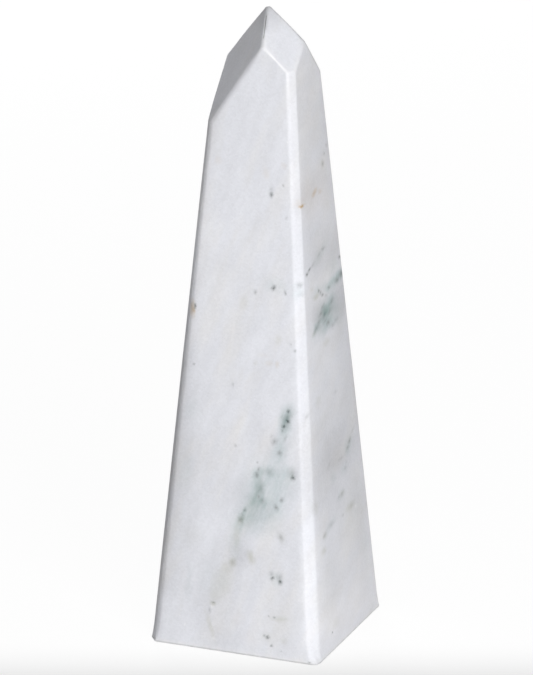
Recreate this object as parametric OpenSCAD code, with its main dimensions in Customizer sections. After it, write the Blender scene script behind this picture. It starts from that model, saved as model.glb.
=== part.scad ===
// Marble desk obelisk, cut from one block of stone.
// A square shaft tapers to a hand-cut point. The four facets of the point lie on the corners
// of the shaft, not on its faces, and no two of them run down equally far, so each face of the
// shaft ends in an uneven gable. Millimetres, +Z up, origin at the middle of the base, front -Y.

/* [Shaft] */
// Side of the square base
base_w = 76.2; // [60:0.1:100]
// Height of the blunted tip above the base
height = 264.5; // [220:0.5:320]
// Width at the neck, where the longest facet begins
neck_w = 40.3; // [32:0.1:50]
// Depth at the neck, a little less than the width
neck_d = 37; // [32:0.1:50]

/* [Bevels] */
// Leg of the bevel on each upright corner, at the base
bevel_base = 4; // [2:0.1:8]
// Leg of the same bevel at the neck
bevel_neck = 3.1; // [1:0.1:6]
// Leg of the small bevel round the foot of the block
foot_bevel = 0.5; // [0.3:0.1:2]

/* [Point] */
// How far the front left facet runs down its corner, below the tip
drop_front_left = 50; // [35:0.5:60]
// How far the front right facet runs down its corner
drop_front_right = 25; // [18:0.5:60]
// How far the back right facet runs down its corner
drop_back_right = 30; // [18:0.5:60]
// How far the back left facet runs down its corner
drop_back_left = 38.5; // [18:0.5:60]
// Turn of the front left facet from its corner's diagonal, in degrees
turn_front_left = -1; // [-8:0.5:8]
// Turn of the front right facet
turn_front_right = 2.5; // [-8:0.5:8]
// Turn of the back right facet
turn_back_right = 1.5; // [-8:0.5:8]
// Turn of the back left facet
turn_back_left = 2; // [-8:0.5:8]
// How far the point stands to the right of the middle
point_shift = 0.6; // [-3:0.1:3]

/* [Tip] */
// Height of the sharp point that is worn away at the tip
tip_loss = 1.3; // [1:0.1:4]
// Radius of the rounded tip
tip_r = 2.5; // [2:0.1:6]
// Slope of the shoulder round the tip, in degrees below level
tip_slope = 25; // [15:1:34]

/* [Hidden] */
$fn = 96;

// Each face of the shaft: its heading and the size across it at the neck
faces = [[0, neck_w], [90, neck_d], [180, neck_w], [270, neck_d]];

// Each corner of the shaft: the heading of its diagonal, the drop and the turn of its facet
corners = [
    [225, drop_front_left, turn_front_left],
    [315, drop_front_right, turn_front_right],
    [45, drop_back_right, turn_back_right],
    [135, drop_back_left, turn_back_left],
];

neck_h = height - max([for (corner = corners) corner[1]]);
apex_h = height + tip_loss;
stone = 2 * (base_w + apex_h);

// Distance from the axis to each corner bevel along the diagonal, at the base and at the neck
bevel_base_reach = (base_w - bevel_base) / sqrt(2);
bevel_neck_reach = ((neck_w + neck_d) / 2 - bevel_neck) / sqrt(2);

// Half the size across two opposite faces at a height, from that size at the neck
function half_size(neck, z) = (base_w + (neck - base_w) * z / neck_h) / 2;

// Lean of a plane that is one distance from the axis at the base and another at the neck
function lean_of(base_reach, neck_reach) = atan((base_reach - neck_reach) / neck_h);

// Lean from upright of the facet through the sharp apex and the foot on its corner
function facet_lean(diagonal, drop, turn) =
    let (
        foot_x = sign(cos(diagonal)) * half_size(neck_w, height - drop) - point_shift,
        foot_y = sign(sin(diagonal)) * half_size(neck_d, height - drop),
        heading = diagonal + turn
    )
    atan((foot_x * cos(heading) + foot_y * sin(heading)) / (drop + tip_loss));

// The stone outside one plane, which faces a heading, leans inwards by an angle in degrees and
// passes through the point at a distance from the axis and a height
module offcut(heading, reach, z, lean) {
    rotate([0, 0, heading])
        translate([reach, 0, z])
            rotate([0, -lean, 0])
                translate([0, -stone / 2, -stone / 2])
                    cube(stone);
}

// The four tapered faces
module face_offcuts() {
    for (face = faces)
        offcut(face[0], base_w / 2, 0, lean_of(base_w / 2, face[1] / 2));
}

// The bevels on the four upright corners
module corner_offcuts() {
    for (corner = corners)
        offcut(corner[0], bevel_base_reach, 0, lean_of(bevel_base_reach, bevel_neck_reach));
}

// The small bevel round the foot, under the faces and under the corner bevels
module foot_offcuts() {
    for (face = faces)
        offcut(face[0], base_w / 2 - foot_bevel, 0, -45);
    for (corner = corners)
        offcut(corner[0], bevel_base_reach - foot_bevel, 0, -45);
}

// The four facets, which meet in the sharp apex
module facet_offcuts() {
    for (corner = corners)
        offcut(corner[0] + corner[2], 0, apex_h, facet_lean(corner[0], corner[1], corner[2]));
}

// What the rounding takes off the sharp apex: all but a ball under the tip and a cone that
// touches the ball all round and falls away less steeply than the facets
module tip_offcut() {
    ball_z = height - tip_r;
    touch_r = tip_r * sin(tip_slope);
    touch_z = ball_z + tip_r * cos(tip_slope);
    skirt = neck_w;
    skirt_h = skirt * tan(tip_slope);
    difference() {
        translate([0, 0, ball_z])
            cylinder(h = tip_r + 2 * tip_loss, r = skirt / 2);
        translate([0, 0, ball_z])
            sphere(tip_r);
        translate([0, 0, touch_z - skirt_h])
            cylinder(h = skirt_h, r1 = touch_r + skirt, r2 = touch_r);
    }
}

module obelisk() {
    color("gainsboro")
        difference() {
            translate([-base_w / 2, -base_w / 2, 0])
                cube([base_w, base_w, apex_h]);
            face_offcuts();
            corner_offcuts();
            foot_offcuts();
            translate([point_shift, 0, 0]) {
                facet_offcuts();
                tip_offcut();
            }
        }
}

obelisk();
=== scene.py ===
"""Looks of a marble desk obelisk: one block of stone, ground and polished by hand.

The block is cut again from the flat sides of the CAD node, so that its arrises can be rolled
over and its sides can wander a little, as hand grinding leaves them. The crack, the worn corner
and the flared foot of one bevel are shapes too; the marks of the marble are in its material,
with painted shade and painted highlights on arrises, sides, foot and crack, and painted glints.
Metres, +Z up, origin at the middle of the base, front -Y.
"""

import math

import bmesh
import bpy
import numpy as np
from mathutils import Euler, Matrix, Vector, noise


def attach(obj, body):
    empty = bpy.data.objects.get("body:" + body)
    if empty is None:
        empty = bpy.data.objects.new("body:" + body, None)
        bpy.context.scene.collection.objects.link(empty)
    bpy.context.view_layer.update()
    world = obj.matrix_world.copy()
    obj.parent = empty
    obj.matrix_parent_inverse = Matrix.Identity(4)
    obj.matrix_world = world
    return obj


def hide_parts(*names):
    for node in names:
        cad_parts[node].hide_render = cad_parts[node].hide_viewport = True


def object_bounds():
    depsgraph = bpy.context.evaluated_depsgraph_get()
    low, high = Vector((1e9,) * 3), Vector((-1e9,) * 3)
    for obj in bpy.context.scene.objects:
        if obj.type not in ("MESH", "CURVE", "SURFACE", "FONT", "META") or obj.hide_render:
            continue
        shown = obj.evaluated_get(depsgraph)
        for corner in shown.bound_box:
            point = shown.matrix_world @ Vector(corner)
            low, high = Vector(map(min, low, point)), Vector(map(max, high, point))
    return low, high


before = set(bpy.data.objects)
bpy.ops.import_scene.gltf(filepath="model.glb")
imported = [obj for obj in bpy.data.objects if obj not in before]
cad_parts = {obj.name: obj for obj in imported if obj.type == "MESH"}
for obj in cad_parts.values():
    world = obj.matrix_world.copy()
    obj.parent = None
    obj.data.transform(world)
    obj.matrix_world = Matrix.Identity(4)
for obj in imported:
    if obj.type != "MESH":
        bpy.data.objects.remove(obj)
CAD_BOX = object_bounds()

MM = 0.001
UP = Vector((0, 0, 1))
PURE_WHITE = (1, 1, 1, 1)

# Camera, as fitted to the photograph: sizes in pixels, angles in degrees, sensor in mm
IMAGE_LONG_SIDE = 675
FOCAL_PIXELS = 3505
CAMERA_AT = Vector((516.0, -1284.0, 543.25)) * MM
CAMERA_AZIMUTH = 21.892
CAMERA_ELEVATION = 16.792
SENSOR = 36.0
CLIP_END = 100

# Flat sides: how alike the faces of one side are, the least area of a side, how squarely a side
# faces the axis that it is called after, how far up a facet looks, and what counts as level
SAME_WAY = 0.99999
SAME_REACH = 0.01 * MM
FLAT_AREA = 200 * MM**2
FACING = 0.9
FACET_RISE = 0.3
LEVEL_SIDE = 0.01

# Mesh: the grid on the sides, the cuts beside arrises, and the gap between the sides laid out flat
COLUMNS = 18
LEVEL_STEP = 2.0 * MM
TIP_LEVEL_STEP = 0.4 * MM
TIP_DEPTH = 6.0 * MM
ARRIS_CUTS = [depth * MM for depth in (0.1, 0.22, 0.36, 0.52, 0.75, 1.05, 1.4, 1.9, 2.5)]
SNAP = 1e-6
LAY_OUT_GAP = 2 * MM

# Rolled arrises: radius, wear and weight where nothing else is said, how far a named arris reaches,
# how fast its radius falls off upwards, and the turn of the surface at which its wear, painted
# highlight and painted shade are full
PLAIN_RADIUS = 1.1 * MM
PLAIN_WEAR = 0.1
PLAIN_WEIGHT = 0.02
ARRIS_REACH = 2.5 * MM
RADIUS_FALL = 3
FULL_TINT_TURN = math.radians(22.5)
ROLL_SWEEPS = 40

# Named arrises: radius at the foot of the block, radius at its top, and tint: lighter as wear,
# and a painted highlight where large; below 0 a painted shade
ARRISES = {
    ("front", "bevel_front_right"): (3.4 * MM, 2.8 * MM, 0.0),
    ("right", "bevel_front_right"): (2.4 * MM, 1.9 * MM, 0.0),
    ("front", "bevel_front_left"): (4.0 * MM, 3.6 * MM, 0.0),
    ("left", "bevel_front_left"): (3.2 * MM, 1.6 * MM, 0.0),
    # painted shade: a dark line along the right silhouette
    ("right", "bevel_back_right"): (4.0 * MM, 4.0 * MM, -0.12),
    ("facet_front_left", "front"): (4.6 * MM, 4.6 * MM, 0.0),
    ("facet_front_left", "left"): (2.6 * MM, 2.6 * MM, 0.1),
    # painted shade: dark lines along the silhouettes of the tip, on this arris and the next
    ("facet_front_left", "facet_back_left"): (1.2 * MM, 1.2 * MM, -0.15),
    ("facet_front_right", "facet_back_right"): (1.1 * MM, 1.1 * MM, -0.25),
    ("facet_back_left", "left"): (3.0 * MM, 3.0 * MM, 0.1),
    ("facet_front_right", "right"): (4.4 * MM, 4.4 * MM, 0.0),
    # painted highlight: the bright line where the front right facet meets the front
    ("facet_front_right", "front"): (0.3 * MM, 0.3 * MM, 1.3),
    ("facet_front_right", "bevel_front_right"): (1.2 * MM, 1.2 * MM, 0.3),
    # painted shade along the ridge between the two front facets
    ("facet_front_left", "facet_front_right"): (2.4 * MM, 2.4 * MM, -0.2),
    ("front", "base"): (0.7 * MM, 0.7 * MM, 0.2),
    ("right", "base"): (0.6 * MM, 0.6 * MM, 0.2),
    ("bevel_front_right", "base"): (0.8 * MM, 0.8 * MM, 0.2),
}

# Radius that the foot keeps, and the radius, reach and weight of the rounded tip
FOOT_RADIUS = 0.6 * MM
TIP_RADIUS = 1.6 * MM
TIP_REACH = 4.0 * MM
TIP_WEIGHT = 6.0

# Corner worn off where the front left and back left facets meet the left side
WORN_CORNER = ("facet_front_left", "facet_back_left", "left")
WORN_DEPTH = 0.55 * MM

# Sides that fall away towards a bevel: how far at the foot, how far at the top, over what width
FALLING_SIDES = {
    ("front", "bevel_front_left"): (0.85 * MM, 0.75 * MM, 6.5 * MM),
    ("front", "bevel_front_right"): (0.45 * MM, 0.20 * MM, 5 * MM),
    ("right", "bevel_front_right"): (1.00 * MM, 0.15 * MM, 10 * MM),
    ("back", "bevel_back_right"): (0.50 * MM, 0.30 * MM, 6 * MM),
    ("back", "bevel_back_left"): (0.45 * MM, 0.20 * MM, 6 * MM),
    ("left", "bevel_back_left"): (0.45 * MM, 0.20 * MM, 8 * MM),
}

# Height over which that fall grows from nothing at the foot
FALL_FOOT = 9 * MM

# Bevel that runs out to the sharp corner of its two sides at the foot: over what height, how far
# of the way, and how deep in the base the stretch goes
FLARED_BEVEL = ("bevel_front_right", "front", "right")
FLARE_HEIGHT = 6.5 * MM
FLARE_SHARE = 0.9
FLARE_INSET = 1.5 * MM

# Bevels that stand a little otherwise: turn in degrees about the arris with the named side, ease
EASED_BEVELS = {
    "bevel_front_right": ("right", 8.0, 0.0),
    "bevel_front_left": ("left", -6.0, 0.0),
    "bevel_back_right": ("right", 0.0, 0.62 * MM),
}

# Crack beside the ridge between the two front facets: the heights that it runs between, how far
# beside the ridge it lies, its half width at the top, the share of that at the foot, and its depth
CRACK_SIDES = ("facet_front_right", "facet_front_left")
CRACK_HEIGHTS = (254.4 * MM, 261.7 * MM)
CRACK_ASIDE = 0.4 * MM
CRACK_HALF_WIDTH = 0.44 * MM
CRACK_FOOT_SHARE = 0.6
CRACK_DEPTH = 0.3 * MM

# Wander of the ground sides: wavelength and depth
WANDER = ((26 * MM, 0.07 * MM), (9 * MM, 0.02 * MM))

# Lights: heading from the front towards the right and height, both in degrees, and strength
LIGHT_DISTANCE = 2.5
LIGHT_SIZE = 0.9
LIGHT_AIM = Vector((0, 0, 0.13))
LIGHTS = {
    "key": (30, 9, 0.31),
    "side": (48, 9, 0.49),
    "back": (-150, 25, 0.38),
    "top": (0, 80, 0.28),
}
AMBIENT = 0.08

# Floor: half its width, its drop below the object, and how much of its shadow the camera sees
FLOOR_HALF = 12.0
FLOOR_DROP = 0.02 * MM
FLOOR_TONE = (0.8, 0.8, 0.8, 1)
FLOOR_GLOW = 1.05
SHADOW_SHARE = 0.12

# Fade of the floor in front of the object: its heading, the distances at which it begins, is full
# and has gone again, and how much brightness it takes
FADE_WAY = Vector((0.373, -0.928, 0))
FADE_FROM = 20 * MM
FADE_FULL = 62 * MM
FADE_END = 600 * MM
FADE_LOSS = 0.21

# Colours of the stone, as linear light; the worn white is also a painted highlight, the crystal
# white also painted glints, and the dark tone paints shade and darkens the tip
WHITE = (0.802, 0.811, 0.856)
WARM = (0.815, 0.808, 0.815)
CLOUD = (0.20, 0.37, 0.34)
FLECK = (0.03, 0.05, 0.046)
OLIVE = (0.36, 0.36, 0.22)
OCHRE = (0.50, 0.33, 0.13)
CRYSTAL_AND_GLINT = (0.93, 0.93, 0.95)
WORN_AND_HIGHLIGHT = (0.98, 0.98, 0.99)
CREAM = (0.93, 0.92, 0.86)
DARK_TONE = (0.10, 0.09, 0.075)

# Bedding of the stone: the way across its layers, and a streak's thickness as a share of its length
BEDDING = Vector((-0.92, -0.15, 0.37)).normalized()
LAYER_SHARE = 0.3

# Noise in the stone: size of its features in mm, detail, roughness
STREAK_NOISE = (1.6, 3.0, 0.5)
MOTTLE_NOISE = (26.0, 3.0, 0.5)
PATCH_NOISE = (5.0, 2.0, 0.5)
GRAIN_NOISE = (0.55, 2.0, 0.7)
WARM_NOISE = (9.0, 3.0, 0.5)
CELL_SIZE = 0.9
NOISE_MIDDLE = (0.5, 0.5, 0.5)

# What the noise does: how much it varies the tone, where the warm white begins and is full, and how
# far streaks break up a cloud, with what they leave of it at least
TONES = {"mottle": 0.10, "patch": 0.145, "grain": 0.09, "cell": 0.05}
WARM_RANGE = (0.45, 0.85)
STREAK_SHARE = 1.6
CLOUD_LEAST = 0.2

# Painted highlight and painted shade at the foot, and darkening towards the tip: height in mm at
# which each begins, height at which it is full, strength; and how strong the painted shade in the
# crack is
FOOT_HIGHLIGHT = (2.4, 0.6, 0.35)
FOOT_SHADE = (1.0, 0.2, 0.36)
DARKER_TIP = (255.0, 264.0, 0.27)
CRACK_SHADE = 0.9

# Finish of the stone: roughness and what mottling and grain add to it, bump, gloss, and the share,
# radius and scale of the light that goes into the stone and comes out again
ROUGH_LEAST = 0.40
ROUGH_MOTTLE = 0.12
ROUGH_GRAIN = 0.08
BUMP_STRENGTH = 0.12
BUMP_DEPTH = 0.05 * MM
STONE_IOR = 1.5
STONE_SPECULAR = 0.2
INNER_LIGHT = 0.12
INNER_LIGHT_RADIUS = (1.0, 1.0, 1.0)
INNER_LIGHT_SCALE = 1.0 * MM

# Warps that break up the outlines of marks: size of the noise and how far it moves a point, in mm
FINE_WARPS = ((2.2, 1.3), (0.7, 0.9))
BROAD_WARPS = ((12.0, 6.0), (2.5, 2.2))

# Marks in the stone; the shading marks also hold painted shade and painted light, the crystals also
# painted glints. Each one: place across its side and height in mm, half width, half height,
# lean in degrees towards the right or the back as it rises, strength (a shading mark below 0 is
# paler)
FRONT_FLECKS = [
    (20.6, 101.3, 3.8, 8.6, 15, 0.52),
    (21.2, 104.6, 1.8, 2.0, 0, 0.80),
    (20.8, 100.7, 2.4, 2.7, 15, 1.0),
    (19.3, 98.4, 2.0, 2.2, 15, 0.85),
    (18.9, 96.6, 1.4, 1.8, 15, 0.45),
    (18.6, 102.5, 2.0, 5.0, 15, 0.18),
    (20.3, 93.6, 1.3, 3.4, 15, 0.22),
    (15.4, 91.6, 2.3, 2.6, 15, 0.46),
    (14.2, 93.8, 1.5, 1.8, 15, 0.18),
    (17.8, 87.1, 2.2, 2.4, 0, 0.50),
    (24.1, 77.7, 1.9, 2.4, 0, 0.85),
    (23.7, 79.2, 4.2, 4.4, 0, 0.26),
    (8.2, 76.9, 2.2, 2.8, 15, 0.56),
    (8.9, 79.2, 1.5, 2.6, 15, 0.40),
    (13.6, 78.6, 5.6, 3.6, 0, 0.22),
    (10.0, 71.5, 3.4, 7.0, 0, 0.30),
    (9.5, 67.7, 1.7, 2.0, 0, 0.36),
    (11.2, 66.4, 2.6, 3.0, -20, 0.30),
    (19.5, 67.8, 1.7, 1.9, 0, 0.50),
    (17.2, 64.3, 1.8, 2.8, -20, 0.52),
    (3.4, 61.5, 1.5, 1.8, 15, 0.46),
    (1.9, 57.2, 2.4, 3.4, 15, 0.42),
    (2.6, 59.4, 1.4, 3.0, 15, 0.25),
    (19.8, 52.2, 2.2, 3.4, -20, 0.34),
    (16.7, 34.3, 1.8, 2.0, 0, 0.85),
    (16.2, 36.0, 2.4, 2.6, 0, 0.32),
    (20.2, 33.4, 1.9, 2.2, 0, 0.88),
    (19.8, 34.9, 2.8, 3.4, 0, 0.36),
    (15.4, 9.2, 1.5, 1.4, 0, 0.72),
    (14.1, 9.7, 1.5, 1.5, 0, 0.42),
    (17.3, 5.9, 1.2, 1.2, 0, 0.65),
    (18.0, 18.0, 1.1, 1.1, 0, 0.50),
    (15.9, 18.1, 0.9, 0.9, 0, 0.40),
    (21.6, 4.0, 0.8, 0.8, 0, 0.30),
    (34.3, 1.0, 1.0, 0.8, 0, 0.60),
    (8.4, 81.9, 0.9, 1.0, 0, 0.35),
    (-1.6, 87.9, 1.2, 1.2, 0, 0.26),
    (-1.0, 38.8, 2.4, 3.0, 0, 0.16),
    (12.6, 154.6, 1.9, 2.1, 0, 0.85),
    (5.0, 152.2, 1.5, 1.7, 0, 0.42),
    (17.9, 153.2, 1.1, 2.0, -20, 0.50),
    (-21.3, 143.6, 1.0, 2.4, 0, 0.85),
    (22.8, 129.8, 1.3, 1.4, 0, 0.42),
    (21.0, 132.3, 1.0, 1.0, 0, 0.22),
    (-21.0, 119.6, 1.0, 1.0, 0, 0.35),
    (-3.6, 113.0, 0.9, 2.0, 0, 0.25),
    (10.4, 192.4, 1.7, 2.4, 0, 0.72),
    (10.4, 194.4, 2.0, 3.0, 0, 0.22),
    (17.2, 183.5, 1.3, 1.3, 0, 0.22),
    (15.3, 196.6, 0.9, 0.9, 0, 0.35),
    (-8.9, 20.6, 1.8, 0.9, 0, 0.50),
    (-10.6, 17.0, 1.4, 2.6, 0, 0.28),
    (23.3, 156.5, 2.0, 2.2, 0, 0.50),
    (24.2, 152.5, 1.6, 1.8, 0, 0.25),
    (28.2, 102.8, 1.2, 2.8, 15, 0.34),
]
FRONT_CLOUDS = [
    (13.0, 71.0, 17.0, 23.0, 15, 0.19),
    (3.0, 60.0, 9.0, 14.0, 15, 0.10),
    (19.0, 92.0, 7.0, 17.0, 15, 0.13),
    (20.5, 101.3, 4.8, 10.0, 15, 0.36),
    (9.8, 71.0, 4.5, 9.0, 0, 0.22),
    (13.0, 78.8, 6.0, 4.0, 0, 0.18),
    (10.5, 66.0, 8.0, 5.5, 0, 0.16),
    (6.0, 62.0, 6.0, 9.0, 15, 0.16),
    (12.5, 60.5, 12.0, 7.0, 0, 0.12),
    (19.0, 75.0, 8.0, 12.0, 0, 0.12),
    (8.5, 77.5, 3.5, 5.0, 15, 0.14),
    (23.5, 79.0, 5.0, 6.0, 0, 0.14),
    (16.5, 90.5, 4.5, 6.0, 15, 0.12),
    (18.0, 86.5, 5.0, 5.0, 0, 0.10),
    (17.5, 65.5, 4.0, 6.0, -20, 0.12),
    (2.3, 58.0, 3.4, 8.0, 15, 0.20),
    (8.0, 54.5, 12.0, 6.0, 0, 0.08),
    (0.0, 47.0, 4.0, 12.0, 0, 0.10),
    (20.5, 17.5, 6.0, 1.8, 0, 0.05),
    (18.3, 34.6, 5.5, 4.6, 0, 0.12),
    (-20.5, 28.0, 3.0, 12.0, 0, 0.06),
    (-9.0, 30.0, 10.0, 12.0, 15, 0.05),
    (-24.0, 75.0, 6.0, 12.0, 0, 0.06),
    (-21.0, 100.0, 6.0, 8.0, 0, 0.06),
    (13.5, 156.0, 8.0, 6.0, 0, 0.09),
    (22.0, 154.0, 4.0, 6.0, 0, 0.12),
]
FRONT_OLIVE = [
    (0.4, 49.0, 2.6, 9.0, 0, 0.14),
    (-1.0, 38.8, 2.6, 3.4, 0, 0.30),
    (-3.5, 36.0, 4.0, 4.0, 15, 0.14),
    (6.3, 43.2, 2.6, 2.8, 0, 0.22),
    (7.2, 41.0, 2.8, 3.2, 0, 0.24),
    (-5.0, 30.0, 6.0, 12.0, 15, 0.14),
    (-9.0, 23.0, 3.6, 5.0, 15, 0.12),
    (-10.2, 10.5, 1.6, 10.0, -20, 0.17),
    (-9.0, 20.0, 2.4, 1.8, 0, 0.25),
    (15.0, 9.0, 4.0, 4.0, 0, 0.10),
    (20.5, 17.5, 5.5, 2.0, 0, 0.16),
    (22.5, 8.5, 2.4, 2.2, 0, 0.12),
    (22.0, 12.0, 10.0, 14.0, 0, 0.05),
    (1.8, 57.0, 2.2, 3.2, 15, 0.22),
    (20.0, 52.0, 2.8, 3.8, -20, 0.12),
    (-20.0, 48.0, 8.0, 8.0, 0, 0.06),
    (0.0, 147.0, 3.2, 4.0, 0, 0.12),
    (15.6, 133.5, 2.6, 3.2, 0, 0.12),
    (6.0, 123.0, 1.8, 2.0, 0, 0.12),
]
FRONT_OCHRE = [
    (-22.6, 142.4, 2.4, 5.5, 0, 0.50),
    (-21.6, 141.8, 1.2, 1.5, 0, 0.30),
    (15.6, 123.6, 1.6, 2.2, 0, 0.16),
    (12.0, 123.5, 3.0, 1.8, 0, 0.10),
    (9.0, 126.5, 4.0, 1.6, 0, 0.05),
    (-13.0, 204.2, 2.8, 2.8, 0, 0.09),
    (8.0, 200.5, 2.4, 3.6, 0, 0.09),
    (15.3, 204.5, 2.2, 2.2, 0, 0.09),
    (22.4, 187.8, 1.8, 1.1, 0, 0.75),
    (22.0, 189.2, 3.4, 3.2, 0, 0.15),
    (2.0, 15.5, 5.0, 6.0, 0, 0.03),
    (7.0, 8.0, 5.0, 6.0, 0, 0.03),
]
# Bright crystals, partly painted glints
FRONT_CRYSTALS_AND_GLINTS = [
    (16.4, 214.1, 0.7, 0.7, 0, 0.9),
    (-7.0, 230.4, 0.7, 0.7, 0, 0.9),
    (-21.3, 9.4, 0.8, 0.8, 0, 0.8),
    (-24.0, 13.2, 0.8, 0.8, 0, 0.8),
    (-32.0, 22.2, 0.8, 0.8, 0, 0.8),
    (-9.4, 18.8, 1.5, 1.2, 0, 0.9),
    (-8.3, 5.4, 1.4, 2.0, 0, 0.8),
    (17.4, 33.6, 0.9, 0.9, 0, 0.7),
    (14.5, 68.2, 4.4, 5.0, 0, 0.30),
]
# Grey in the stone, with painted shade towards the left edge and painted light (below 0) on the
# bevels and foot
FRONT_TONE_AND_SHADING = [
    (-22.0, 75.0, 9.0, 60.0, 0, 0.04),
    (-20.5, 27.0, 2.6, 13.0, 0, 0.03),
    (-27.0, 25.0, 2.0, 20.0, 0, 0.02),
    (22.0, 20.0, 8.0, 26.0, 0, 0.03),
    (6.0, 64.0, 17.0, 18.0, 15, 0.09),
    (2.0, 42.0, 9.0, 13.0, 15, 0.10),
    (13.0, 92.0, 14.0, 12.0, 15, 0.05),
    (-14.0, 18.0, 9.0, 14.0, 0, 0.05),
    (-8.0, 32.0, 24.0, 34.0, 0, 0.045),
    (-12.0, 78.0, 16.0, 30.0, 0, 0.03),
    (3.0, 40.0, 7.0, 10.0, 15, 0.05),
    (-31.0, 83.0, 16.0, 190.0, 0, 0.11),
    (-25.0, 180.0, 16.0, 58.0, 0, -0.11),
    (-33.0, 66.0, 5.0, 20.0, 0, 0.06),
    (-4.0, 6.0, 20.0, 12.0, 0, 0.07),
    (-32.0, 14.0, 8.0, 15.0, 0, -0.07),
    (23.0, 165.0, 5.0, 18.0, 0, -0.10),
    (33.0, 36.0, 6.0, 44.0, 0, -0.10),
    (20.5, 215.0, 5.0, 20.0, 0, -0.06),
]
RIGHT_FLECKS = [
    (14.6, 80.2, 3.6, 2.2, -20, 0.52),
    (12.3, 77.9, 3.6, 2.0, -20, 0.36),
    (19.0, 83.4, 5.0, 1.6, -20, 0.16),
    (4.0, 75.9, 6.5, 1.5, 0, 0.16),
    (-9.5, 77.3, 5.0, 1.4, -20, 0.12),
    (8.0, 70.5, 2.8, 1.6, 0, 0.20),
    (9.5, 72.5, 2.6, 1.6, 0, 0.16),
    (2.6, 61.2, 4.0, 1.8, -20, 0.22),
    (-1.6, 60.7, 3.2, 1.4, 0, 0.22),
    (-11.5, 52.4, 9.0, 2.2, 0, 0.18),
    (-20.0, 50.2, 4.0, 1.9, -20, 0.26),
    (1.4, 52.0, 2.4, 1.3, 0, 0.24),
    (12.3, 53.2, 5.0, 2.2, 0, 0.14),
    (-19.8, 7.9, 1.5, 1.0, 0, 0.62),
    (3.2, 104.7, 4.0, 1.8, 0, 0.16),
    (-16.8, 159.7, 2.4, 1.4, -20, 0.90),
    (-14.4, 160.8, 3.6, 1.4, -20, 0.68),
    (-11.0, 162.0, 5.0, 1.4, -20, 0.26),
    (1.4, 165.9, 4.4, 1.7, 0, 0.36),
    (-3.0, 164.6, 5.0, 1.4, -20, 0.18),
    (19.0, 157.8, 3.0, 1.6, 0, 0.66),
    (-6.4, 150.2, 2.4, 1.6, 0, 0.68),
    (-4.6, 148.8, 2.0, 1.5, 0, 0.50),
    (-2.8, 147.6, 2.4, 1.3, 0, 0.66),
    (1.0, 146.2, 3.0, 1.2, 0, 0.22),
    (4.9, 148.7, 3.2, 1.5, 0, 0.48),
    (14.4, 149.3, 5.2, 2.4, 0, 0.50),
    (19.6, 150.8, 5.0, 3.6, -20, 0.58),
    (-6.0, 140.6, 5.0, 2.2, -20, 0.42),
    (-2.2, 139.0, 5.6, 3.8, -20, 0.46),
    (1.0, 134.7, 4.2, 2.2, 0, 0.50),
    (6.8, 142.4, 4.6, 2.2, -20, 0.34),
    (-4.0, 142.6, 5.0, 1.7, -20, 0.30),
    (3.5, 138.8, 6.4, 2.2, -20, 0.32),
    (-2.0, 136.4, 6.4, 1.9, -20, 0.32),
    (-9.0, 137.6, 5.4, 1.7, -20, 0.30),
    (10.0, 133.4, 4.6, 1.7, 0, 0.22),
    (5.5, 132.4, 4.6, 2.2, 0, 0.28),
    (-12.0, 135.8, 6.4, 2.2, -20, 0.34),
    (8.0, 199.6, 2.8, 2.4, 0, 0.34),
    (10.5, 203.2, 2.2, 1.6, 0, 0.30),
    (13.5, 206.0, 2.0, 1.3, 0, 0.30),
]
RIGHT_CLOUDS = [
    (-1.0, 138.8, 19.0, 9.0, -20, 0.34),
    (-2.0, 139.5, 8.0, 4.5, -20, 0.20),
    (4.0, 142.0, 10.0, 4.0, -20, 0.20),
    (1.5, 134.2, 10.0, 4.2, 0, 0.24),
    (-12.0, 135.6, 7.5, 2.8, -20, 0.30),
    (10.0, 136.5, 12.0, 8.0, 0, 0.16),
    (8.5, 149.6, 16.0, 3.8, 0, 0.36),
    (17.5, 150.4, 6.0, 4.4, -20, 0.26),
    (-2.0, 164.4, 15.0, 4.0, -20, 0.12),
    (-8.0, 149.5, 8.0, 3.5, 0, 0.10),
    (12.0, 156.0, 14.0, 8.0, 0, 0.06),
    (13.0, 79.0, 8.0, 5.0, -20, 0.20),
    (-6.0, 70.0, 5.0, 3.5, 0, 0.10),
    (7.0, 70.0, 6.0, 4.0, 0, 0.10),
    (1.0, 61.0, 7.0, 3.0, 0, 0.08),
    (-14.0, 51.5, 12.0, 3.4, -20, 0.10),
    (24.0, 32.0, 8.0, 12.0, 0, 0.05),
]
RIGHT_OLIVE = [
    (10.0, 53.0, 8.0, 2.8, 0, 0.20),
    (14.0, 50.0, 26.0, 20.0, 0, 0.09),
    (-15.0, 10.5, 6.0, 3.4, 0, 0.10),
    (-26.0, 64.0, 4.0, 5.0, 0, 0.14),
    (-9.5, 148.6, 5.5, 1.9, 0, 0.26),
    (-13.5, 152.4, 2.4, 1.2, 0, 0.14),
    (-2.0, 127.4, 6.5, 2.6, 0, 0.16),
    (-14.5, 134.3, 4.0, 2.0, 0, 0.14),
    (-22.0, 44.2, 4.4, 2.6, 0, 0.20),
    (-20.0, 50.2, 4.0, 2.0, 0, 0.16),
    (2.4, 61.0, 5.0, 2.2, 0, 0.14),
    (-16.0, 106.5, 5.0, 3.6, 0, 0.10),
    (8.0, 199.6, 3.0, 2.6, 0, 0.16),
    (-12.0, 218.0, 9.0, 22.0, 0, 0.06),
]
RIGHT_OCHRE = [
    (-3.0, 190.2, 5.0, 2.0, -20, 0.36),
    (0.0, 190.0, 26.0, 17.0, 0, 0.10),
    (-11.0, 190.0, 14.0, 17.0, 0, 0.07),
    (-8.0, 224.0, 20.0, 28.0, 0, 0.04),
    (-4.0, 10.0, 48.0, 24.0, 0, 0.05),
    (22.0, 38.0, 16.0, 24.0, 0, 0.03),
    (3.0, 189.2, 3.8, 1.8, 0, 0.16),
    (-16.5, 187.8, 1.8, 1.1, 0, 0.50),
]
# Bright crystals, partly painted glints
RIGHT_CRYSTALS_AND_GLINTS = [
    (16.5, 51.3, 2.4, 1.6, 0, 0.6),
]
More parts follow.
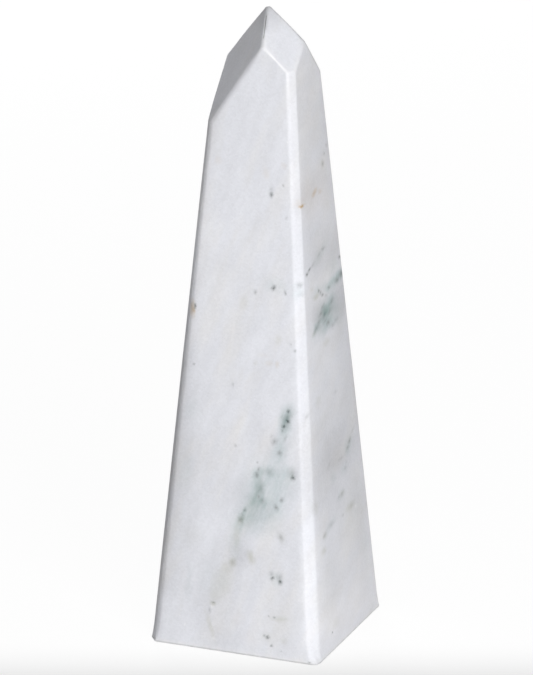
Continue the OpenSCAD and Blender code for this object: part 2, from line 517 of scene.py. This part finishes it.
# Grey in the stone, with painted shade towards the back edge and silhouette, and painted light
# (below 0) at the foot
RIGHT_TONE_AND_SHADING = [
    (26.0, 120.0, 26.0, 190.0, 0, 0.11),
    (15.0, 140.0, 12.0, 14.0, 0, 0.09),
    (-8.5, 139.5, 9.0, 9.0, 0, 0.11),
    (14.0, 100.0, 26.0, 130.0, 0, 0.03),
    (-2.0, 81.0, 32.0, 15.0, 0, 0.05),
    (-8.0, 78.0, 38.0, 36.0, 0, 0.15),
    (0.0, 88.0, 26.0, 5.0, 0, 0.03),
    (-2.0, 75.0, 28.0, 4.0, 0, 0.03),
    (2.0, 140.0, 26.0, 13.0, 0, 0.05),
    (-4.0, 165.0, 38.0, 16.0, 0, 0.12),
    (0.0, 140.0, 32.0, 15.0, 0, 0.06),
    (24.0, 215.0, 40.0, 48.0, 0, 0.12),
    (20.0, 141.0, 9.0, 12.0, 0, 0.05),
    (30.5, 85.0, 7.0, 75.0, -5, 0.14),
    (-4.0, 8.0, 48.0, 22.0, 0, -0.07),
    (-26.0, 9.0, 14.0, 14.0, 0, -0.06),
]

# Kinds of marks: half depth in the stone in mm, whether only the strongest one counts at a point,
# and the marks of each seen side
KINDS = {
    "flecks": (9.0, True, {"front": FRONT_FLECKS, "right": RIGHT_FLECKS}),
    "olive": (12.0, False, {"front": FRONT_OLIVE, "right": RIGHT_OLIVE}),
    "ochre": (10.0, False, {"front": FRONT_OCHRE, "right": RIGHT_OCHRE}),
    "crystals_and_glints": (4.0, True, {"front": FRONT_CRYSTALS_AND_GLINTS, "right": RIGHT_CRYSTALS_AND_GLINTS}),
    "clouds": (14.0, False, {"front": FRONT_CLOUDS, "right": RIGHT_CLOUDS}),
    "tone_and_shading": (16.0, False, {"front": FRONT_TONE_AND_SHADING, "right": RIGHT_TONE_AND_SHADING}),
}
FINE_KINDS = ("flecks", "olive", "ochre", "crystals_and_glints")
STAINS = {"olive": OLIVE, "ochre": OCHRE, "flecks": FLECK, "crystals_and_glints": CRYSTAL_AND_GLINT}

# Seen sides with the axis that each one looks along, and how much lower, in mm, the hidden sides
# repeat their marks
SEEN_SIDES = {"front": 1, "right": 0}
HALF_TURN_SHIFT = 37.0


def make_camera():
    """The camera of the photograph"""
    data = bpy.data.cameras.new("camera")
    data.sensor_width = SENSOR
    data.lens = FOCAL_PIXELS * SENSOR / IMAGE_LONG_SIDE
    data.clip_end = CLIP_END
    camera = bpy.data.objects.new("camera", data)
    camera.location = CAMERA_AT
    camera.rotation_euler = (
        math.radians(90 - CAMERA_ELEVATION),
        0,
        math.radians(CAMERA_AZIMUTH),
    )
    bpy.context.scene.collection.objects.link(camera)
    bpy.context.scene.camera = camera


def new_node(tree, kind, values=None, **settings):
    """A shader node with its settings, and its inputs set to numbers or linked to sockets"""
    made = tree.nodes.new("ShaderNode" + kind)
    for name, value in settings.items():
        setattr(made, name, value)
    for key, value in (values or {}).items():
        if isinstance(value, bpy.types.NodeSocket):
            tree.links.new(value, made.inputs[key])
        else:
            made.inputs[key].default_value = value
    return made


def math_node(tree, operation, first, second=0.0, third=0.0):
    """The result of a sum on numbers or sockets"""
    made = new_node(tree, "Math", {0: first, 1: second, 2: third}, operation=operation)
    return made.outputs[0]


def vector_node(tree, operation, first, second=(0, 0, 0)):
    """The result of a sum on vectors, or on a vector and a number"""
    key = "Scale" if operation == "SCALE" else 1
    made = new_node(tree, "VectorMath", {0: first, key: second}, operation=operation)
    return made.outputs["Value" if operation in ("LENGTH", "DOT_PRODUCT") else "Vector"]


def noise_node(tree, point, size, detail=2.0, roughness=0.5):
    """Noise with features of about a size in mm: its value and its vector, both around 0.5"""
    made = new_node(
        tree,
        "TexNoise",
        {"Vector": point, "Scale": 1 / size, "Detail": detail, "Roughness": roughness},
    )
    return made.outputs[0], made.outputs[1]


def ramp_node(tree, value, start, end, last=1.0, first=0.0, kind="LINEAR"):
    """A number that runs from first to last while the value runs from start to end"""
    made = new_node(
        tree,
        "MapRange",
        {"Value": value, "From Min": start, "From Max": end, "To Min": first, "To Max": last},
        interpolation_type=kind,
    )
    return made.outputs[0]


def mix_colour(tree, share, first, second, blend="MIX"):
    """Two colours, given as tuples or sockets, mixed by a share that is kept between 0 and 1"""
    first, second = [
        (*value, 1) if isinstance(value, tuple) else value for value in (first, second)
    ]
    made = new_node(
        tree, "Mix", {0: share, 6: first, 7: second}, data_type="RGBA", blend_type=blend
    )
    made.clamp_factor = True
    return made.outputs[2]


def empty_material(name):
    """A material with no nodes yet, and its tree"""
    material = bpy.data.materials.new(name)
    material.use_nodes = True
    material.node_tree.nodes.clear()
    return material, material.node_tree


def half_turned(tree, point, axis):
    """The point, turned half round the upright and raised where it lies on the hidden side.

    The hidden sides so repeat the marks of the seen ones, at another height.
    """
    split = new_node(tree, "SeparateXYZ", {0: point})
    beyond = "GREATER_THAN" if axis == SEEN_SIDES["front"] else "LESS_THAN"
    hidden = math_node(tree, beyond, split.outputs[axis])
    sign = math_node(tree, "MULTIPLY_ADD", hidden, -2.0, 1.0)
    made = new_node(
        tree,
        "CombineXYZ",
        {
            0: math_node(tree, "MULTIPLY", split.outputs[0], sign),
            1: math_node(tree, "MULTIPLY", split.outputs[1], sign),
            2: math_node(tree, "MULTIPLY_ADD", hidden, HALF_TURN_SHIFT, split.outputs[2]),
        },
    )
    return made.outputs[0]


def warped(tree, point, at, warps):
    """The point moved about by noise, so that marks lose their plain outlines"""
    for size, amount in warps:
        shift = vector_node(tree, "SUBTRACT", noise_node(tree, at, size)[1], NOISE_MIDDLE)
        point = vector_node(tree, "ADD", point, vector_node(tree, "SCALE", shift, amount))
    return point


def leaning(tree, point, axis, lean):
    """The point turned in a side's plane, so that marks with that lean stand upright"""
    angle = math.radians(lean)
    turn = Euler((0, -angle, 0) if axis == SEEN_SIDES["front"] else (angle, 0, 0))
    made = new_node(tree, "Mapping", {"Vector": point, "Rotation": turn}, vector_type="POINT")
    return made.outputs[0], turn.to_matrix()


def set_in_side(axis, across, through, height):
    """Lengths across a side, through it and up, in the order of the axes"""
    if axis == SEEN_SIDES["front"]:
        return across, through, height
    return through, across, height


def add_marks(tree, point, marks, depth, side, axis, total, peaked):
    """Joins soft ellipsoids in the stone, set in one of its sides, to a running total.

    Peaked ones keep the strongest, as a square root; broad ones add up.
    """
    normal, reach = side
    for lean in sorted({mark[4] for mark in marks}):
        turned, turn = leaning(tree, point, axis, lean)
        for across, height, half_width, half_height, own_lean, strength in marks:
            if own_lean != lean:
                continue
            surface = (reach / MM - normal.z * height) / normal[axis]
            place = Vector(set_in_side(axis, across, surface, height))
            half = set_in_side(axis, half_width, depth, half_height)
            shrink = Vector([1 / size for size in half])
            local = new_node(
                tree,
                "VectorMath",
                {0: turned, 1: shrink, 2: -(turn @ place) * shrink},
                operation="MULTIPLY_ADD",
            )
            soft = ramp_node(
                tree,
                vector_node(tree, "LENGTH", local.outputs[0]),
                1.0,
                0.0,
                last=math.sqrt(strength) if peaked else strength,
                kind="LINEAR" if peaked else "SMOOTHSTEP",
            )
            total = math_node(tree, "MAXIMUM" if peaked else "ADD", total, soft)
    return total


def marks_of_kind(tree, kind, points, sides):
    """How strong one kind of mark is, from the point to use for each seen side"""
    depth, peaked, marks = KINDS[kind]
    total = 0.0
    for name, axis in SEEN_SIDES.items():
        total = add_marks(
            tree, points[name], marks[name], depth, sides[name], axis, total, peaked
        )
    return math_node(tree, "POWER", total, 2.0) if peaked else total


def mark_layers(tree, at, sides):
    """How strong each kind of mark is at a point of the stone; the grey and painted shading marks
    keep to the seen sides
    """
    turned = {name: half_turned(tree, at, axis) for name, axis in SEEN_SIDES.items()}
    fine = {name: warped(tree, point, at, FINE_WARPS) for name, point in turned.items()}
    broad = {name: warped(tree, point, at, BROAD_WARPS) for name, point in turned.items()}
    layers = {kind: marks_of_kind(tree, kind, fine, sides) for kind in FINE_KINDS}
    layers["clouds"] = marks_of_kind(tree, "clouds", broad, sides)
    drift = warped(tree, at, at, BROAD_WARPS)
    layers["tone_and_shading"] = marks_of_kind(tree, "tone_and_shading", dict.fromkeys(SEEN_SIDES, drift), sides)
    return layers


def bedded_point(tree, at):
    """The point drawn together along the layers of the stone, so that noise there lies in streaks"""
    along = vector_node(tree, "DOT_PRODUCT", at, BEDDING)
    rest = math_node(tree, "MULTIPLY", along, 1 - LAYER_SHARE)
    across = vector_node(tree, "SCALE", tuple(BEDDING), rest)
    return vector_node(tree, "ADD", vector_node(tree, "SCALE", at, LAYER_SHARE), across)


def even_layers(tree, at, bedded):
    """What varies all over the stone: streaks of the bedding, mottling, patches and crystal grain"""
    layers = {
        "streak": noise_node(tree, bedded, *STREAK_NOISE)[0],
        "mottle": noise_node(tree, at, *MOTTLE_NOISE)[0],
        "patch": noise_node(tree, bedded, *PATCH_NOISE)[0],
        "grain": noise_node(tree, at, *GRAIN_NOISE)[0],
    }
    cells = new_node(tree, "TexVoronoi", {"Vector": at, "Scale": 1 / CELL_SIZE})
    layers["cell"] = new_node(tree, "SeparateXYZ", {0: cells.outputs["Color"]}).outputs[0]
    return layers


def stone_colour(tree, bedded, even, marks):
    """Colour of the clean stone: warm and cold white, clouds, stains, flecks and crystals with
    painted glints, and their tone with painted shade and light
    """
    # Tone: grey in the stone, with painted shade and painted light from the shading marks
    tone = math_node(tree, "SUBTRACT", 1.0, marks["tone_and_shading"])
    for name, amount in TONES.items():
        shift = math_node(tree, "MULTIPLY_ADD", even[name], amount, -amount / 2)
        tone = math_node(tree, "ADD", tone, shift)
    broken = math_node(tree, "MULTIPLY_ADD", even["streak"], STREAK_SHARE, CLOUD_LEAST)
    warm = ramp_node(tree, noise_node(tree, bedded, *WARM_NOISE)[0], *WARM_RANGE)
    colour = mix_colour(tree, warm, WHITE, WARM)
    clouds = math_node(tree, "MULTIPLY", marks["clouds"], broken)
    colour = mix_colour(tree, clouds, colour, CLOUD)
    for kind, stain in STAINS.items():
        colour = mix_colour(tree, marks[kind], colour, stain)
    grey = new_node(tree, "CombineXYZ", {0: tone, 1: tone, 2: tone})
    return mix_colour(tree, 1.0, colour, grey.outputs[0], "MULTIPLY")


def worn_and_shaded_colour(tree, at, patch, colour):
    """The stone's colour with worn arrises and their painted highlight and shade, a painted
    highlight and painted shade at the foot, a darker tip, and painted shade in the crack
    """
    arris = new_node(tree, "Attribute", attribute_name="arris").outputs["Fac"]
    crack = new_node(tree, "Attribute", attribute_name="crack").outputs["Fac"]
    # Lighter worn arrises with a painted highlight on one; where the arris value is below 0, painted
    # shade
    colour = mix_colour(tree, arris, colour, WORN_AND_HIGHLIGHT)
    colour = mix_colour(tree, math_node(tree, "MULTIPLY", arris, -1.0), colour, DARK_TONE)
    height = new_node(tree, "SeparateXYZ", {0: at}).outputs[2]
    lit_band = ramp_node(tree, height, *FOOT_HIGHLIGHT)
    shaded_foot = ramp_node(tree, height, *FOOT_SHADE)
    # Painted highlight: a lighter cream band just above the foot
    colour = mix_colour(tree, math_node(tree, "MULTIPLY", lit_band, patch), colour, CREAM)
    # Painted shade: a dark line along the foot
    colour = mix_colour(tree, shaded_foot, colour, DARK_TONE)
    # Darker towards the tip
    colour = mix_colour(tree, ramp_node(tree, height, *DARKER_TIP), colour, DARK_TONE)
    # Painted shade in the crack
    return mix_colour(tree, math_node(tree, "MULTIPLY", crack, CRACK_SHADE), colour, DARK_TONE)


def make_marble(sides):
    """White marble with its marks, worn edges with painted highlight and painted shade, and the soft
    sheen of a hand polish
    """
    material, tree = empty_material("marble")
    at = vector_node(tree, "SCALE", new_node(tree, "TexCoord").outputs["Object"], 1 / MM)
    marks = mark_layers(tree, at, sides)
    bedded = bedded_point(tree, at)
    even = even_layers(tree, at, bedded)
    colour = stone_colour(tree, bedded, even, marks)
    colour = worn_and_shaded_colour(tree, at, even["patch"], colour)
    rough = math_node(tree, "MULTIPLY_ADD", even["mottle"], ROUGH_MOTTLE, ROUGH_LEAST)
    rough = math_node(tree, "MULTIPLY_ADD", even["grain"], ROUGH_GRAIN, rough)
    bump = new_node(
        tree,
        "Bump",
        {"Strength": BUMP_STRENGTH, "Distance": BUMP_DEPTH, "Height": even["grain"]},
    )
    shader = new_node(
        tree,
        "BsdfPrincipled",
        {
            "Base Color": colour,
            "Roughness": rough,
            "IOR": STONE_IOR,
            "Specular IOR Level": STONE_SPECULAR,
            "Normal": bump.outputs[0],
            "Subsurface Weight": INNER_LIGHT,
            "Subsurface Radius": INNER_LIGHT_RADIUS,
            "Subsurface Scale": INNER_LIGHT_SCALE,
        },
    )
    new_node(tree, "OutputMaterial", {"Surface": shader.outputs[0]})
    return material


def make_lights():
    """Soft square lamps. White that faces one of them shows that lamp's strength."""
    for name, (heading, height, strength) in LIGHTS.items():
        heading = math.radians(heading)
        height = math.radians(height)
        way = Vector((
            math.sin(heading) * math.cos(height),
            -math.cos(heading) * math.cos(height),
            math.sin(height),
        ))
        data = bpy.data.lights.new(name, "AREA")
        data.size = LIGHT_SIZE
        data.energy = strength * (math.pi * LIGHT_DISTANCE) ** 2
        light = bpy.data.objects.new(name, data)
        light.location = LIGHT_AIM + way * LIGHT_DISTANCE
        light.rotation_euler = way.to_track_quat("Z", "Y").to_euler()
        bpy.context.scene.collection.objects.link(light)


def make_world():
    """White to the camera, a faint even light to everything else"""
    world = bpy.data.worlds.new("studio")
    bpy.context.scene.world = world
    world.use_nodes = True
    tree = world.node_tree
    tree.nodes.clear()
    path = new_node(tree, "LightPath")
    strength = new_node(
        tree, "Mix", {0: path.outputs["Is Camera Ray"], 2: AMBIENT, 3: 1.0}, data_type="FLOAT"
    )
    sky = new_node(tree, "Background", {"Color": PURE_WHITE, "Strength": strength.outputs[0]})
    new_node(tree, "OutputWorld", {"Surface": sky.outputs[0]})


def floor_material():
    """Near white to the camera, with a faint shadow and a fade in front of the object"""
    material, tree = empty_material("floor")
    place = new_node(tree, "TexCoord").outputs["Object"]
    ahead = vector_node(tree, "DOT_PRODUCT", place, FADE_WAY)
    fade = ramp_node(tree, ahead, FADE_FROM, FADE_FULL)
    back = ramp_node(tree, ahead, FADE_FULL, FADE_END, last=0.0, first=1.0)
    loss = math_node(tree, "MULTIPLY", math_node(tree, "POWER", fade, 2.0), back)
    strength = math_node(tree, "MULTIPLY_ADD", loss, -FADE_LOSS, FLOOR_GLOW)
    path = new_node(tree, "LightPath")
    lit = new_node(tree, "BsdfDiffuse", {"Color": FLOOR_TONE})
    glow = new_node(tree, "Emission", {"Color": PURE_WHITE, "Strength": strength})
    share = math_node(tree, "MULTIPLY", path.outputs["Is Camera Ray"], 1 - SHADOW_SHARE)
    seen = new_node(tree, "MixShader", {0: share, 1: lit.outputs[0], 2: glow.outputs[0]})
    new_node(tree, "OutputMaterial", {"Surface": seen.outputs[0]})
    return material


def make_floor():
    """A plain pale floor"""
    bm = bmesh.new()
    bmesh.ops.create_grid(bm, x_segments=1, y_segments=1, size=FLOOR_HALF)
    mesh = bpy.data.meshes.new("floor")
    bm.to_mesh(mesh)
    bm.free()
    floor = bpy.data.objects.new("floor", mesh)
    floor.location.z = -FLOOR_DROP
    bpy.context.scene.collection.objects.link(floor)
    mesh.materials.append(floor_material())


def side_name(normal):
    """What a flat side is called, from the way it looks"""
    ahead = "front" if normal.y < 0 else "back"
    aside = "right" if normal.x > 0 else "left"
    if normal.z < -FACING:
        return "base"
    if normal.z > FACET_RISE:
        return f"facet_{ahead}_{aside}"
    if abs(normal.x) > FACING:
        return aside
    if abs(normal.y) > FACING:
        return ahead
    return f"bevel_{ahead}_{aside}"


def flat_sides(cad):
    """The large flat sides of the CAD node: name to outward normal and reach from the origin"""
    found = []
    for poly in cad.data.polygons:
        reach = poly.normal.dot(poly.center)
        for side in found:
            alike = side["normal"].dot(poly.normal) > SAME_WAY
            if alike and abs(side["reach"] - reach) < SAME_REACH:
                side["area"] += poly.area
                break
        else:
            found.append({"normal": poly.normal.copy(), "reach": reach, "area": poly.area})
    large = [side for side in found if side["area"] > FLAT_AREA]
    return {side_name(side["normal"]): (side["normal"], side["reach"]) for side in large}


def everything(bm):
    """All of a mesh's parts, as the cuts take them"""
    return bm.verts[:] + bm.edges[:] + bm.faces[:]


def cut_block(sides):
    """A sharp block with one face for each side; the face layer "side" keeps the side's number"""
    bm = bmesh.new()
    bmesh.ops.create_cube(bm, size=1)
    layer = bm.faces.layers.int.new("side")
    for number, (normal, reach) in enumerate(sides.values()):
        cut = bmesh.ops.bisect_plane(
            bm, geom=everything(bm), plane_co=normal * reach, plane_no=normal, clear_outer=True
        )
        rim = [item for item in cut["geom_cut"] if isinstance(item, bmesh.types.BMEdge)]
        for face in bmesh.ops.contextual_create(bm, geom=rim)["faces"]:
            face[layer] = number
    return bm


def score(bm, point, normal):
    """Cuts every face that a plane crosses, and takes nothing away"""
    bmesh.ops.bisect_plane(
        bm, geom=everything(bm), plane_co=point, plane_no=normal, dist=SNAP
    )


def score_grid(bm, sides):
    """Rows beside each arris, columns that follow the taper, and level rows"""
    for normal, reach in sides.values():
        for depth in ARRIS_CUTS:
            score(bm, normal * (reach - depth), normal)
    for axis, name in ((0, "right"), (1, "back")):
        normal, reach = sides[name]
        half = reach / normal[axis]
        meeting = reach / normal.z
        for share in np.linspace(-1, 1, COLUMNS + 1)[1:-1]:
            fan = Vector((0, 0, share * half))
            fan[axis] = meeting
            score(bm, UP * meeting, fan.normalized())
    top = max(vert.co.z for vert in bm.verts)
    levels = list(np.arange(LEVEL_STEP, top - TIP_DEPTH, LEVEL_STEP))
    levels += list(np.arange(top - TIP_DEPTH, top, TIP_LEVEL_STEP))
    for level in levels:
        score(bm, UP * level, UP)


def bell(distance, reach):
    """1 at no distance, falling off softly over the reach"""
    return np.exp(-0.5 * (distance / reach) ** 2)


def arris_form(points, depths, names):
    """Radius of the rolled arris at each point and its tint, from its depths below the sides'
    planes: lighter where worn, a painted highlight where large, painted shade below 0
    """
    apex = points[points[:, 2].argmax()]
    weight = np.full(len(points), PLAIN_WEIGHT)
    radius = weight * PLAIN_RADIUS
    arris_tint = weight * PLAIN_WEAR
    # worn is the tint column: wear, painted highlight and painted shade
    for (one, other), (foot, top, worn) in ARRISES.items():
        off = np.hypot(depths[:, names.index(one)], depths[:, names.index(other)])
        near = bell(off, ARRIS_REACH)
        weight += near
        radius += near * (top + (foot - top) * (1 - points[:, 2] / apex[2]) ** RADIUS_FALL)
        arris_tint += near * worn
    near = TIP_WEIGHT * bell(np.linalg.norm(points - apex, axis=1), TIP_REACH)
    radius = (radius + near * TIP_RADIUS) / (weight + near)
    radius = np.minimum(radius, np.maximum(FOOT_RADIUS, points[:, 2]))
    return radius, arris_tint / (weight + near)


def roll_arrises(points, sides):
    """Moves points of the sharp block on to the block rolled over by a ball.

    Each point is projected on to the block shrunk by the ball's radius, then pushed out again
    by that radius. Returns the points, their normals and their arris's tint: lighter where worn,
    with a painted highlight where large, and painted shade below 0.
    """
    normals = np.array([normal for normal, reach in sides.values()])
    reaches = np.array([reach for normal, reach in sides.values()])
    depths = reaches - points @ normals.T
    radius, arris_tint = arris_form(points, depths, list(sides))
    gram = normals @ normals.T
    over = radius[:, None] - depths
    push = np.zeros_like(over)
    for sweep in range(ROLL_SWEEPS):
        for side in range(len(sides)):
            push[:, side] = np.maximum(0, push[:, side] + over[:, side] - push @ gram[side])
    offset = push @ normals
    outward = offset / np.linalg.norm(offset, axis=1)[:, None]
    turned = np.arccos(np.clip((outward @ normals.T).max(axis=1), 0, 1))
    arris = np.clip(turned / FULL_TINT_TURN, 0, 1)
    return points - offset + outward * radius[:, None], outward, arris * arris_tint


def let_sides_fall(points, sharp, sides):
    """Lets the sides fall away softly towards their bevels, as hand polishing leaves them"""
    lowness = 1 - sharp[:, 2] / sharp[:, 2].max()
    grown = 1 - np.clip(1 - sharp[:, 2] / FALL_FOOT, 0, 1) ** 2
    for (name, bevel), (foot, top, width) in FALLING_SIDES.items():
        normal, reach = sides[bevel]
        inward = -np.array(sides[name][0])
        inward[2] = 0
        inset = (reach - sharp @ np.array(normal)) * math.sqrt(2)
        share = grown * np.clip(1 - inset / width, 0, 1) ** 2
        points = points + inward * ((top + (foot - top) * lowness) * share)[:, None]
    return points


def flare_foot(points, sides):
    """Lets one bevel run out to the sharp corner of its two sides at the foot of the block"""
    (normal, reach), *beside = [sides[name] for name in FLARED_BEVEL]
    inset = reach - points @ np.array(normal)
    room = np.min(
        [(far - points @ np.array(way)) / way.dot(normal) for way, far in beside], axis=0
    )
    low = np.clip(1 - points[:, 2] / FLARE_HEIGHT, 0, 1) ** 2
    near = np.clip(1 - inset / FLARE_INSET, 0, 1)
    return points + np.outer(FLARE_SHARE * room * low * near, normal)


def meeting_point(planes):
    """The point where three planes meet, each given as its normal and its reach"""
    normals = np.array([normal for normal, reach in planes])
    return Vector(np.linalg.solve(normals, [reach for normal, reach in planes]))


def ease_bevels(sides):
    """Turns some bevels about an arris, and lets some take a little less off their corner"""
    for name, (beside, turn, ease) in EASED_BEVELS.items():
        normal, reach = sides[name]
        arris = meeting_point([sides[name], sides[beside], (UP, 0)])
        axis = normal.cross(sides[beside][0])
        axis *= math.copysign(1, axis.z)
        turned = Matrix.Rotation(math.radians(turn), 3, axis) @ normal
        sides[name] = (turned, turned.dot(arris) + ease)


def worn_corner(sides):
    """The plane that takes the tip off one corner of the block"""
    planes = [sides[name] for name in WORN_CORNER]
    normal = sum((normal for normal, reach in planes), Vector()).normalized()
    return normal, normal.dot(meeting_point(planes)) - WORN_DEPTH


def open_crack(points, outward, sharp, sides):
    """Sinks a thin crack beside a ridge; returns the points and how deep in the crack each one is"""
    ridge = [sides[name] for name in CRACK_SIDES]
    foot, top = [meeting_point(ridge + [(UP, height)]) for height in CRACK_HEIGHTS]
    length = (top - foot).length
    way = (top - foot).normalized()
    aside = way.cross(ridge[1][0])
    aside *= math.copysign(CRACK_ASIDE, -aside.dot(ridge[0][0]))
    from_foot = sharp - np.array(foot + aside)
    along = np.clip(from_foot @ np.array(way), 0, length)
    off = np.linalg.norm(from_foot - along[:, None] * np.array(way), axis=1)
    width = CRACK_HALF_WIDTH * (CRACK_FOOT_SHARE + (1 - CRACK_FOOT_SHARE) * along / length)
    share = np.clip(1 - off / width, 0, 1)
    return points - outward * (CRACK_DEPTH * share)[:, None], share


def wander(points, outward):
    """Sinks the sides a little here and there, as hand grinding leaves them; the base stays flat"""
    standing = np.clip(1 + outward[:, 2], 0, 1)
    sunk = np.zeros(len(points))
    for wavelength, depth in WANDER:
        wave = np.array([noise.noise(Vector(point) / wavelength) for point in points])
        sunk += depth * (0.5 + 0.5 * wave)
    return points - outward * (sunk * standing)[:, None]


def side_axes(normal):
    """Two directions in a side: level and up the slope"""
    level = UP.cross(normal)
    level = level.normalized() if level.length > LEVEL_SIDE else Vector((1, 0, 0))
    return level, normal.cross(level)


def side_boxes(bm, sides, layer):
    """For each side's number: its two directions, and its low corner and size along them"""
    boxes = {}
    for number, (normal, reach) in enumerate(sides.values()):
        axes = np.array(side_axes(normal))
        corners = [vert.co for face in bm.faces if face[layer] == number for vert in face.verts]
        flat = np.array(corners) @ axes.T
        boxes[number] = (axes, flat.min(axis=0), np.ptp(flat, axis=0))
    return boxes


def box_places(boxes):
    """Where each side's box lies when the tall ones stand in a row and the rest above them"""
    places = {}
    pen = np.array([LAY_OUT_GAP, LAY_OUT_GAP])
    row = 0
    tallest = max(size[1] for axes, low, size in boxes.values())
    for number in sorted(boxes, key=lambda number: -boxes[number][2][1]):
        size = boxes[number][2]
        if row and size[1] < tallest / 2 <= row:
            pen = np.array([LAY_OUT_GAP, pen[1] + row + LAY_OUT_GAP])
            row = 0
        places[number] = pen.copy()
        row = max(row, size[1])
        pen[0] += size[0] + LAY_OUT_GAP
    return places


def lay_out(bm, sides):
    """Picture coordinates: each side flat and to one scale, on a square sheet"""
    layer = bm.faces.layers.int["side"]
    boxes = side_boxes(bm, sides, layer)
    places = box_places(boxes)
    spread = max((places[number] + boxes[number][2]).max() for number in places) + LAY_OUT_GAP
    uv = bm.loops.layers.uv.new("OFBake")
    for face in bm.faces:
        axes, low, size = boxes[face[layer]]
        for loop in face.loops:
            loop[uv].uv = (axes @ np.array(loop.vert.co) - low + places[face[layer]]) / spread


def make_stone(sides):
    """The block: cut, scored, rolled over, worn and cracked, and kept inside the CAD box"""
    bm = cut_block(sides)
    score_grid(bm, sides)
    bmesh.ops.triangulate(bm, faces=[face for face in bm.faces if len(face.verts) > 4])
    lay_out(bm, sides)
    sharp = np.array([vert.co for vert in bm.verts])
    points, outward, arris = roll_arrises(sharp, sides)
    points = let_sides_fall(points, sharp, sides)
    points = flare_foot(points, sides)
    points = wander(points, outward)
    points, crack = open_crack(points, outward, sharp, sides)
    points = np.clip(points, np.array(CAD_BOX[0]), np.array(CAD_BOX[1]))
    for vert, point in zip(bm.verts, points):
        vert.co = point
    mesh = bpy.data.meshes.new("obelisk_marble")
    bm.to_mesh(mesh)
    bm.free()
    # The "arris" attribute is the arris tint: wear, painted highlight and painted shade
    for name, values in (("arris", arris), ("crack", crack)):
        mesh.attributes.new(name, "FLOAT", "POINT").data.foreach_set("value", values)
    mesh.shade_smooth()
    piece = bpy.data.objects.new("obelisk_marble", mesh)
    bpy.context.scene.collection.objects.link(piece)
    return piece


make_camera()
sides = flat_sides(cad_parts["obelisk"])
sides["worn_corner"] = worn_corner(sides)
ease_bevels(sides)
stone = make_stone(sides)
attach(stone, "root")
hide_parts("obelisk")

make_lights()
make_world()
make_floor()

stone.data.materials.append(make_marble(sides))
bpy.context.scene.view_settings.view_transform = "Standard"
